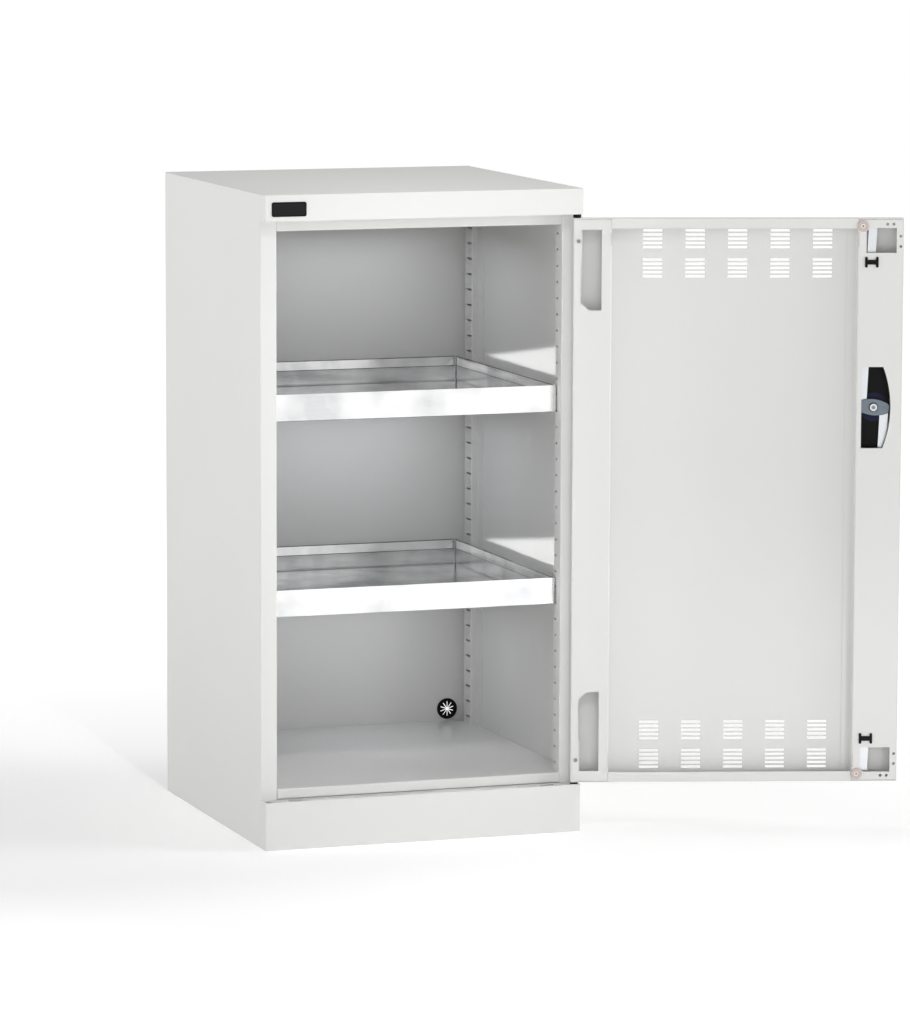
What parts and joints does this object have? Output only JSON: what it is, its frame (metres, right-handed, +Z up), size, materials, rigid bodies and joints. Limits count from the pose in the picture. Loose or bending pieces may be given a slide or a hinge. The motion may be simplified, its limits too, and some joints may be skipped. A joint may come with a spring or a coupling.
{
  "type": "steel storage cabinet",
  "caption": "Narrow sheet-steel cabinet on a plinth, with rimmed galvanised tray shelves hooked into slotted uprights and a hinged, ventilated door locked by rods.",
  "frame": {"origin": "on the floor, in the plane of the front frame, midway between the sides", "axes": "+Z up, +X to the right seen from the front, +Y from the front to the back"},
  "size_m": [0.9865, 0.6806, 1],
  "materials": {
    "painted_steel": "light grey textured powder coat",
    "galvanised_steel": "bright galvanised sheet",
    "zinc_plated_steel": "bright zinc plate",
    "zinc_casting": "dull blue-grey casting",
    "black_rubber": "moulded",
    "black_nylon": "moulded, satin",
    "black_enamel": "satin, bare of any lettering",
    "natural_nylon": "moulded, off-white",
    "chromed_steel": "polished"
  },
  "bodies": {
    "cabinet": {"left_side_panel": "painted_steel", "right_side_panel": "painted_steel", "back_panel": "painted_steel", "top_cover": "painted_steel", "top_front_rail": "painted_steel", "floor_panel": "painted_steel", "plinth_front": "painted_steel", "plinth_screws": "zinc_plated_steel", "front_left_upright": "painted_steel", "front_right_upright": "painted_steel", "rear_left_upright": "painted_steel", "rear_right_upright": "painted_steel", "cable_grommet": "black_rubber", "blank_badge": "black_enamel", "upper_hinge_bush": "black_nylon", "lower_hinge_bush": "black_nylon", "upper_tray": "galvanised_steel", "lower_tray": "galvanised_steel", "upper_tray_hooks": "galvanised_steel", "lower_tray_hooks": "galvanised_steel"},
    "door": {"door_skin": "painted_steel", "hinge_channel": "painted_steel", "lock_channel": "painted_steel", "upper_hinge_pin": "zinc_plated_steel", "lower_hinge_pin": "zinc_plated_steel", "upper_pin_block": "painted_steel", "lower_pin_block": "painted_steel", "hinge_pin_screws": "painted_steel", "handle_tub": "black_nylon", "upper_rod_guide": "black_nylon", "lower_rod_guide": "black_nylon", "upper_buffer_pad": "natural_nylon", "lower_buffer_pad": "natural_nylon"},
    "handle": {"turn_handle": "black_nylon", "spindle": "zinc_plated_steel", "lock_cylinder": "chromed_steel", "lock_cam": "zinc_casting", "cam_rivets": "zinc_plated_steel", "cam_washer": "zinc_plated_steel", "cam_nut": "zinc_plated_steel"},
    "key": {"key_plug": "chromed_steel"},
    "upper_rod": {"upper_lock_rod": "galvanised_steel"},
    "lower_rod": {"lower_lock_rod": "galvanised_steel"}
  },
  "joints": [
    {"name": "door_swing", "type": "hinge", "parent": "cabinet", "child": "door", "pos_m": [0.2485, -0.015, 0.078], "axis": [0, 0, 1], "range_deg": [-163, 12]},
    {"name": "handle_turn", "type": "hinge", "parent": "door", "child": "handle", "pos_m": [0.68691, -0.14924, 0.662], "axis": [0.2924, 0.9563, 0], "range_deg": [0, 90]},
    {"name": "key_turn", "type": "hinge", "parent": "handle", "child": "key", "pos_m": [0.68691, -0.14924, 0.662], "axis": [0.2924, 0.9563, 0], "range_deg": [0, 90]},
    {"name": "upper_rod_slide", "type": "slide", "parent": "door", "child": "upper_rod", "axis": [0.0471, -0.0144, 0.9988], "range_m": [0, 0.0152]},
    {"name": "lower_rod_slide", "type": "slide", "parent": "door", "child": "lower_rod", "axis": [-0.043, 0.0132, -0.999], "range_m": [0, 0.0152]}
  ],
  "couplings": [
    {"joint": "upper_rod_slide", "follows": "lower_rod_slide", "ratio": 1},
    {"joint": "handle_turn", "follows": "lower_rod_slide", "rad_per_m": 103.28}
  ]
}
